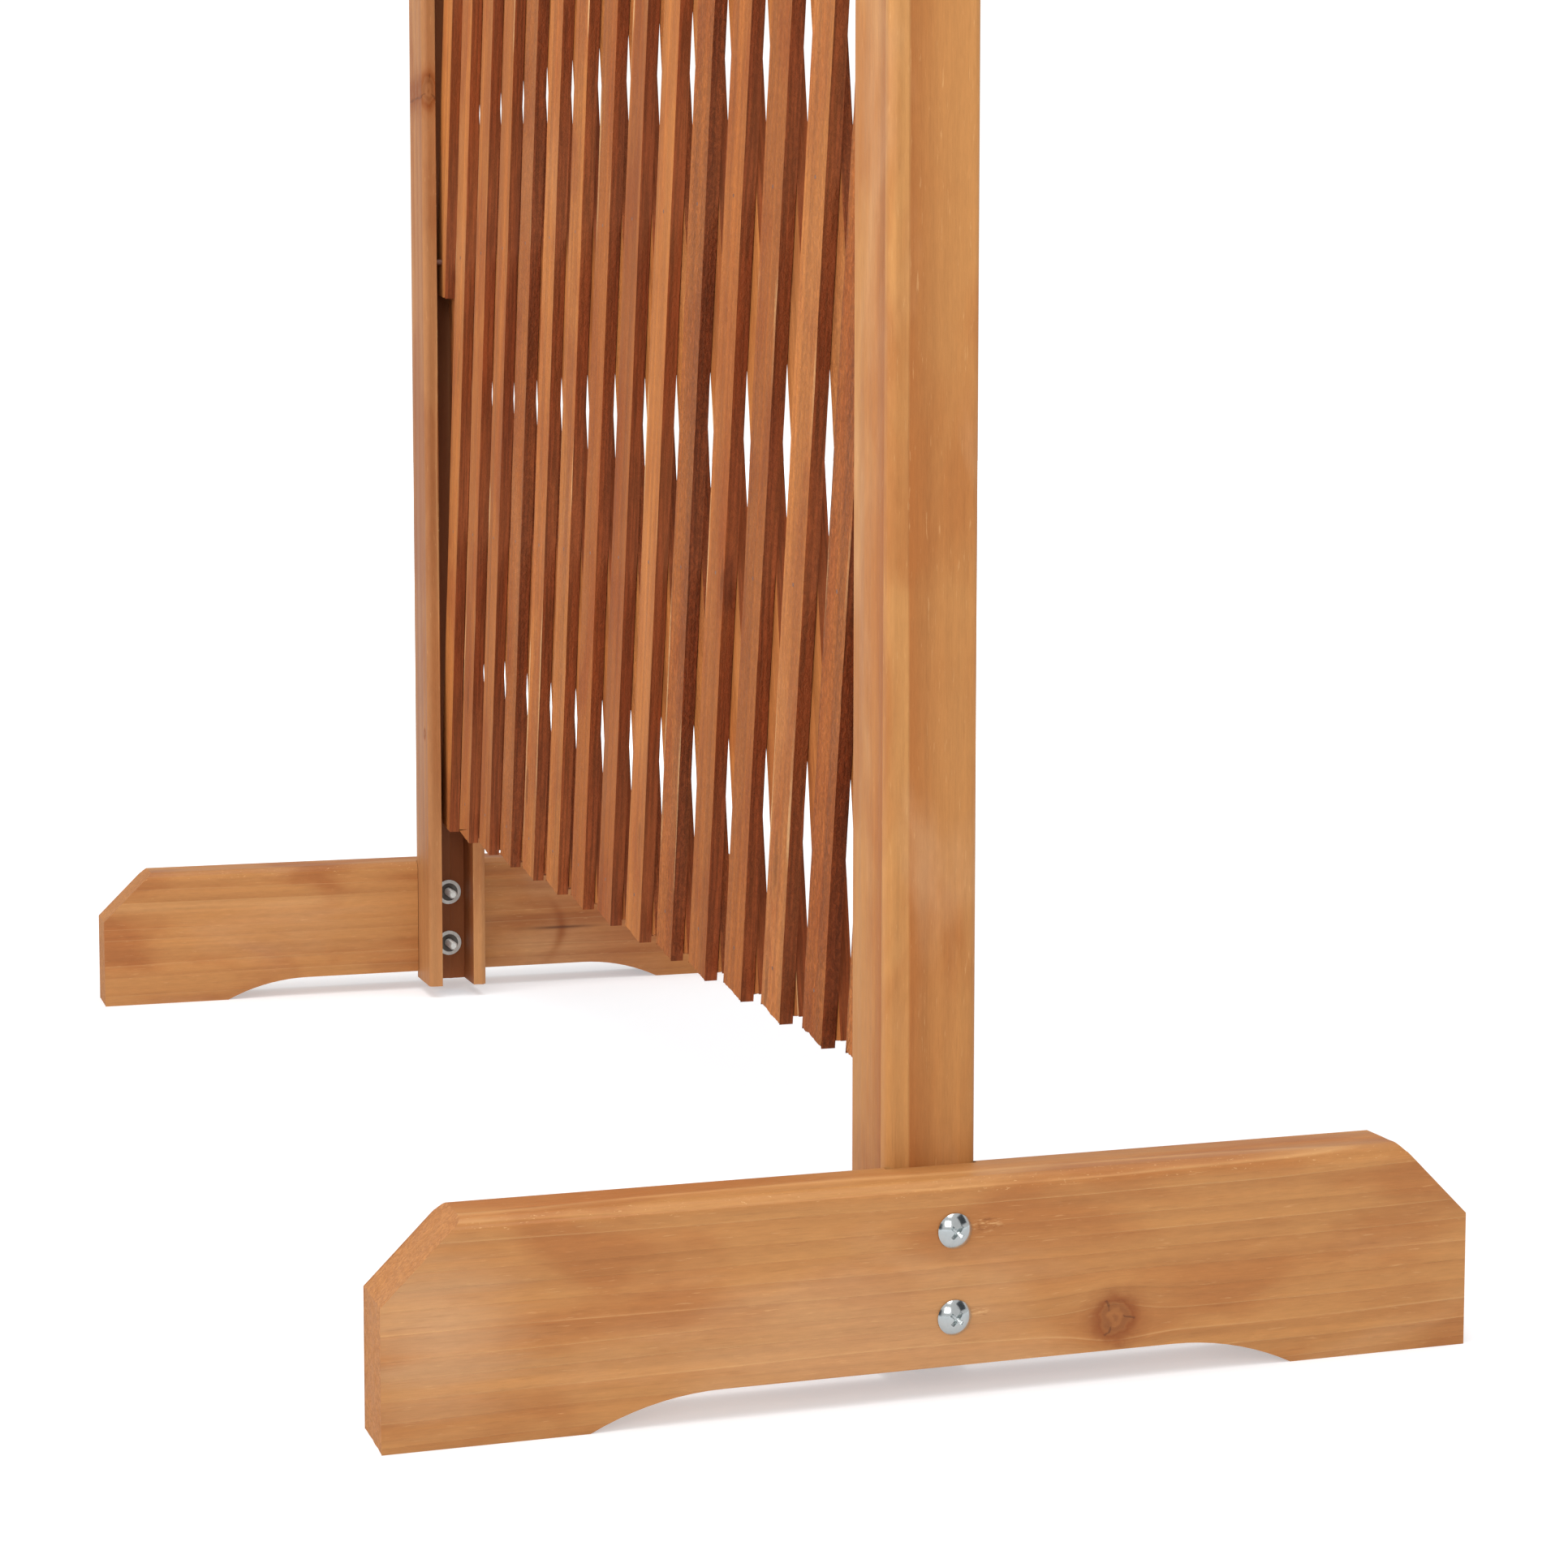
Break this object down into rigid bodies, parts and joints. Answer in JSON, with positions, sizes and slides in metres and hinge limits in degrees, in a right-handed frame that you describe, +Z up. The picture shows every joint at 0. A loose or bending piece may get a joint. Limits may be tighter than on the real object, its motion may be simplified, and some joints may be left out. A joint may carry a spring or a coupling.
{
  "type": "expandable wooden trellis",
  "caption": "Free-standing expandable wooden trellis: a scissor lattice of thin slats held between two grooved posts, each bolted to a chamfered foot.",
  "frame": {"origin": "on the ground, midway between the two posts and on the feet's centre line", "axes": "+X along the lattice towards the near post; +Y along the feet, towards the side where the pins have their heads; +Z up"},
  "size_m": [1.076, 0.5, 1.1493],
  "materials": {
    "foot_wood": "light golden brown stained softwood, planed, with fine sawn end grain",
    "post_wood": "light golden brown stained softwood, planed, with straight grain and knots",
    "front_slat_wood": "reddish brown stained softwood, rough sawn",
    "back_slat_wood": "darker reddish brown stained softwood, rough sawn",
    "zinc_steel": "bright zinc plated steel"
  },
  "bodies": {
    "near_end": {"near_post": "post_wood", "near_foot": "foot_wood", "near_bolts": "zinc_steel", "near_tee_nuts": "zinc_steel", "near_pivot_screw": "zinc_steel"},
    "front_slat_1": {"front_slat_1": "front_slat_wood"},
    "front_slat_2": {"front_slat_2": "front_slat_wood"},
    "front_slat_3": {"front_slat_3": "front_slat_wood"},
    "front_slat_4": {"front_slat_4": "front_slat_wood"},
    "front_slat_5": {"front_slat_5": "front_slat_wood"},
    "front_slat_6": {"front_slat_6": "front_slat_wood"},
    "front_slat_7": {"front_slat_7": "front_slat_wood"},
    "front_slat_8": {"front_slat_8": "front_slat_wood"},
    "front_slat_9": {"front_slat_9": "front_slat_wood"},
    "front_slat_10": {"front_slat_10": "front_slat_wood"},
    "front_slat_11": {"front_slat_11": "front_slat_wood"},
    "front_slat_12": {"front_slat_12": "front_slat_wood"},
    "front_slat_13": {"front_slat_13": "front_slat_wood"},
    "front_slat_14": {"front_slat_14": "front_slat_wood"},
    "front_slat_15": {"front_slat_15": "front_slat_wood"},
    "front_slat_16": {"front_slat_16": "front_slat_wood"},
    "front_slat_17": {"front_slat_17": "front_slat_wood"},
    "back_slat_1": {"back_slat_1": "back_slat_wood", "pins_1": "zinc_steel"},
    "back_slat_2": {"back_slat_2": "back_slat_wood", "pins_2": "zinc_steel"},
    "back_slat_3": {"back_slat_3": "back_slat_wood", "pins_3": "zinc_steel"},
    "back_slat_4": {"back_slat_4": "back_slat_wood", "pins_4": "zinc_steel"},
    "back_slat_5": {"back_slat_5": "back_slat_wood", "pins_5": "zinc_steel"},
    "back_slat_6": {"back_slat_6": "back_slat_wood", "pins_6": "zinc_steel"},
    "back_slat_7": {"back_slat_7": "back_slat_wood", "pins_7": "zinc_steel"},
    "back_slat_8": {"back_slat_8": "back_slat_wood", "pins_8": "zinc_steel"},
    "back_slat_9": {"back_slat_9": "back_slat_wood", "pins_9": "zinc_steel"},
    "back_slat_10": {"back_slat_10": "back_slat_wood", "pins_10": "zinc_steel"},
    "back_slat_11": {"back_slat_11": "back_slat_wood", "pins_11": "zinc_steel"},
    "back_slat_12": {"back_slat_12": "back_slat_wood", "pins_12": "zinc_steel"},
    "back_slat_13": {"back_slat_13": "back_slat_wood", "pins_13": "zinc_steel"},
    "back_slat_14": {"back_slat_14": "back_slat_wood", "pins_14": "zinc_steel"},
    "back_slat_15": {"back_slat_15": "back_slat_wood", "pins_15": "zinc_steel"},
    "back_slat_16": {"back_slat_16": "back_slat_wood", "pins_16": "zinc_steel"},
    "rear_end": {"rear_post": "post_wood", "rear_foot": "foot_wood", "rear_bolts": "zinc_steel", "rear_tee_nuts": "zinc_steel", "rear_pivot_screw": "zinc_steel"}
  },
  "joints": [
    {"name": "lattice_spread", "type": "hinge", "parent": "near_end", "child": "back_slat_16", "pos_m": [0.46302, 0, 0.7261], "axis": [0, -1, 0], "range_deg": [-4.39, 17.58]},
    {"name": "front_slat_14_fold", "type": "hinge", "parent": "back_slat_16", "child": "front_slat_14", "pos_m": [0.39916, 0, 1.11084], "axis": [0, 1, 0], "range_deg": [-9, 36]},
    {"name": "front_slat_15_fold", "type": "hinge", "parent": "back_slat_16", "child": "front_slat_15", "pos_m": [0.43109, 0, 0.91847], "axis": [0, 1, 0], "range_deg": [-9, 36]},
    {"name": "front_slat_16_fold", "type": "hinge", "parent": "back_slat_16", "child": "front_slat_16", "pos_m": [0.46302, 0, 0.7261], "axis": [0, 1, 0], "range_deg": [-9, 36]},
    {"name": "back_slat_11_fold", "type": "hinge", "parent": "front_slat_14", "child": "back_slat_11", "pos_m": [0.23949, 0, 0.149], "axis": [0, -1, 0], "range_deg": [-9, 36]},
    {"name": "back_slat_12_fold", "type": "hinge", "parent": "front_slat_14", "child": "back_slat_12", "pos_m": [0.27143, 0, 0.34137], "axis": [0, -1, 0], "range_deg": [-9, 36]},
    {"name": "back_slat_13_fold", "type": "hinge", "parent": "front_slat_14", "child": "back_slat_13", "pos_m": [0.30336, 0, 0.53373], "axis": [0, -1, 0], "range_deg": [-9, 36]},
    {"name": "back_slat_14_fold", "type": "hinge", "parent": "front_slat_14", "child": "back_slat_14", "pos_m": [0.33529, 0, 0.7261], "axis": [0, -1, 0], "range_deg": [-9, 36]},
    {"name": "back_slat_15_fold", "type": "hinge", "parent": "front_slat_14", "child": "back_slat_15", "pos_m": [0.36722, 0, 0.91847], "axis": [0, -1, 0], "range_deg": [-9, 36]},
    {"name": "front_slat_9_fold", "type": "hinge", "parent": "back_slat_11", "child": "front_slat_9", "pos_m": [0.07983, 0, 1.11084], "axis": [0, 1, 0], "range_deg": [-9, 36]},
    {"name": "front_slat_10_fold", "type": "hinge", "parent": "back_slat_11", "child": "front_slat_10", "pos_m": [0.11176, 0, 0.91847], "axis": [0, 1, 0], "range_deg": [-9, 36]},
    {"name": "front_slat_11_fold", "type": "hinge", "parent": "back_slat_11", "child": "front_slat_11", "pos_m": [0.1437, 0, 0.7261], "axis": [0, 1, 0], "range_deg": [-9, 36]},
    {"name": "front_slat_12_fold", "type": "hinge", "parent": "back_slat_11", "child": "front_slat_12", "pos_m": [0.17563, 0, 0.53373], "axis": [0, 1, 0], "range_deg": [-9, 36]},
    {"name": "front_slat_13_fold", "type": "hinge", "parent": "back_slat_11", "child": "front_slat_13", "pos_m": [0.20756, 0, 0.34137], "axis": [0, 1, 0], "range_deg": [-9, 36]},
    {"name": "back_slat_6_fold", "type": "hinge", "parent": "front_slat_9", "child": "back_slat_6", "pos_m": [-0.07983, 0, 0.149], "axis": [0, -1, 0], "range_deg": [-9, 36]},
    {"name": "back_slat_7_fold", "type": "hinge", "parent": "front_slat_9", "child": "back_slat_7", "pos_m": [-0.0479, 0, 0.34137], "axis": [0, -1, 0], "range_deg": [-9, 36]},
    {"name": "back_slat_8_fold", "type": "hinge", "parent": "front_slat_9", "child": "back_slat_8", "pos_m": [-0.01597, 0, 0.53373], "axis": [0, -1, 0], "range_deg": [-9, 36]},
    {"name": "back_slat_9_fold", "type": "hinge", "parent": "front_slat_9", "child": "back_slat_9", "pos_m": [0.01597, 0, 0.7261], "axis": [0, -1, 0], "range_deg": [-9, 36]},
    {"name": "back_slat_10_fold", "type": "hinge", "parent": "front_slat_9", "child": "back_slat_10", "pos_m": [0.0479, 0, 0.91847], "axis": [0, -1, 0], "range_deg": [-9, 36]},
    {"name": "front_slat_4_fold", "type": "hinge", "parent": "back_slat_6", "child": "front_slat_4", "pos_m": [-0.23949, 0, 1.11084], "axis": [0, 1, 0], "range_deg": [-9, 36]},
    {"name": "front_slat_5_fold", "type": "hinge", "parent": "back_slat_6", "child": "front_slat_5", "pos_m": [-0.20756, 0, 0.91847], "axis": [0, 1, 0], "range_deg": [-9, 36]},
    {"name": "front_slat_6_fold", "type": "hinge", "parent": "back_slat_6", "child": "front_slat_6", "pos_m": [-0.17563, 0, 0.7261], "axis": [0, 1, 0], "range_deg": [-9, 36]},
    {"name": "front_slat_7_fold", "type": "hinge", "parent": "back_slat_6", "child": "front_slat_7", "pos_m": [-0.1437, 0, 0.53373], "axis": [0, 1, 0], "range_deg": [-9, 36]},
    {"name": "front_slat_8_fold", "type": "hinge", "parent": "back_slat_6", "child": "front_slat_8", "pos_m": [-0.11176, 0, 0.34137], "axis": [0, 1, 0], "range_deg": [-9, 36]},
    {"name": "back_slat_1_fold", "type": "hinge", "parent": "front_slat_4", "child": "back_slat_1", "pos_m": [-0.39916, 0, 0.149], "axis": [0, -1, 0], "range_deg": [-9, 36]},
    {"name": "back_slat_2_fold", "type": "hinge", "parent": "front_slat_4", "child": "back_slat_2", "pos_m": [-0.36722, 0, 0.34137], "axis": [0, -1, 0], "range_deg": [-9, 36]},
    {"name": "back_slat_3_fold", "type": "hinge", "parent": "front_slat_4", "child": "back_slat_3", "pos_m": [-0.33529, 0, 0.53373], "axis": [0, -1, 0], "range_deg": [-9, 36]},
    {"name": "back_slat_4_fold", "type": "hinge", "parent": "front_slat_4", "child": "back_slat_4", "pos_m": [-0.30336, 0, 0.7261], "axis": [0, -1, 0], "range_deg": [-9, 36]},
    {"name": "back_slat_5_fold", "type": "hinge", "parent": "front_slat_4", "child": "back_slat_5", "pos_m": [-0.27143, 0, 0.91847], "axis": [0, -1, 0], "range_deg": [-9, 36]},
    {"name": "front_slat_3_fold", "type": "hinge", "parent": "back_slat_1", "child": "front_slat_3", "pos_m": [-0.43109, 0, 0.34137], "axis": [0, 1, 0], "range_deg": [-9, 36]},
    {"name": "front_slat_2_fold", "type": "hinge", "parent": "back_slat_1", "child": "front_slat_2", "pos_m": [-0.46302, 0, 0.53373], "axis": [0, 1, 0], "range_deg": [-9, 36]},
    {"name": "front_slat_1_fold", "type": "hinge", "parent": "back_slat_2", "child": "front_slat_1", "pos_m": [-0.46302, 0, 0.91847], "axis": [0, 1, 0], "range_deg": [-9, 36]},
    {"name": "front_slat_17_fold", "type": "hinge", "parent": "back_slat_14", "child": "front_slat_17", "pos_m": [0.43109, 0, 0.149], "axis": [0, 1, 0], "range_deg": [-9, 36]},
    {"name": "rear_end_turn", "type": "hinge", "parent": "back_slat_1", "child": "rear_end", "pos_m": [-0.46302, 0, 0.53373], "axis": [0, 1, 0], "range_deg": [-4.39, 17.58]}
  ],
  "couplings": [
    {"joint": "front_slat_14_fold", "follows": "lattice_spread", "ratio": 2.0483},
    {"joint": "front_slat_15_fold", "follows": "lattice_spread", "ratio": 2.0483},
    {"joint": "front_slat_16_fold", "follows": "lattice_spread", "ratio": 2.0483},
    {"joint": "back_slat_11_fold", "follows": "lattice_spread", "ratio": 2.0483},
    {"joint": "back_slat_12_fold", "follows": "lattice_spread", "ratio": 2.0483},
    {"joint": "back_slat_13_fold", "follows": "lattice_spread", "ratio": 2.0483},
    {"joint": "back_slat_14_fold", "follows": "lattice_spread", "ratio": 2.0483},
    {"joint": "back_slat_15_fold", "follows": "lattice_spread", "ratio": 2.0483},
    {"joint": "front_slat_9_fold", "follows": "lattice_spread", "ratio": 2.0483},
    {"joint": "front_slat_10_fold", "follows": "lattice_spread", "ratio": 2.0483},
    {"joint": "front_slat_11_fold", "follows": "lattice_spread", "ratio": 2.0483},
    {"joint": "front_slat_12_fold", "follows": "lattice_spread", "ratio": 2.0483},
    {"joint": "front_slat_13_fold", "follows": "lattice_spread", "ratio": 2.0483},
    {"joint": "back_slat_6_fold", "follows": "lattice_spread", "ratio": 2.0483},
    {"joint": "back_slat_7_fold", "follows": "lattice_spread", "ratio": 2.0483},
    {"joint": "back_slat_8_fold", "follows": "lattice_spread", "ratio": 2.0483},
    {"joint": "back_slat_9_fold", "follows": "lattice_spread", "ratio": 2.0483},
    {"joint": "back_slat_10_fold", "follows": "lattice_spread", "ratio": 2.0483},
    {"joint": "front_slat_4_fold", "follows": "lattice_spread", "ratio": 2.0483},
    {"joint": "front_slat_5_fold", "follows": "lattice_spread", "ratio": 2.0483},
    {"joint": "front_slat_6_fold", "follows": "lattice_spread", "ratio": 2.0483},
    {"joint": "front_slat_7_fold", "follows": "lattice_spread", "ratio": 2.0483},
    {"joint": "front_slat_8_fold", "follows": "lattice_spread", "ratio": 2.0483},
    {"joint": "back_slat_1_fold", "follows": "lattice_spread", "ratio": 2.0483},
    {"joint": "back_slat_2_fold", "follows": "lattice_spread", "ratio": 2.0483},
    {"joint": "back_slat_3_fold", "follows": "lattice_spread", "ratio": 2.0483},
    {"joint": "back_slat_4_fold", "follows": "lattice_spread", "ratio": 2.0483},
    {"joint": "back_slat_5_fold", "follows": "lattice_spread", "ratio": 2.0483},
    {"joint": "front_slat_3_fold", "follows": "lattice_spread", "ratio": 2.0483},
    {"joint": "front_slat_2_fold", "follows": "lattice_spread", "ratio": 2.0483},
    {"joint": "front_slat_1_fold", "follows": "lattice_spread", "ratio": 2.0483},
    {"joint": "front_slat_17_fold", "follows": "lattice_spread", "ratio": 2.0483},
    {"joint": "rear_end_turn", "follows": "lattice_spread", "ratio": 1}
  ]
}
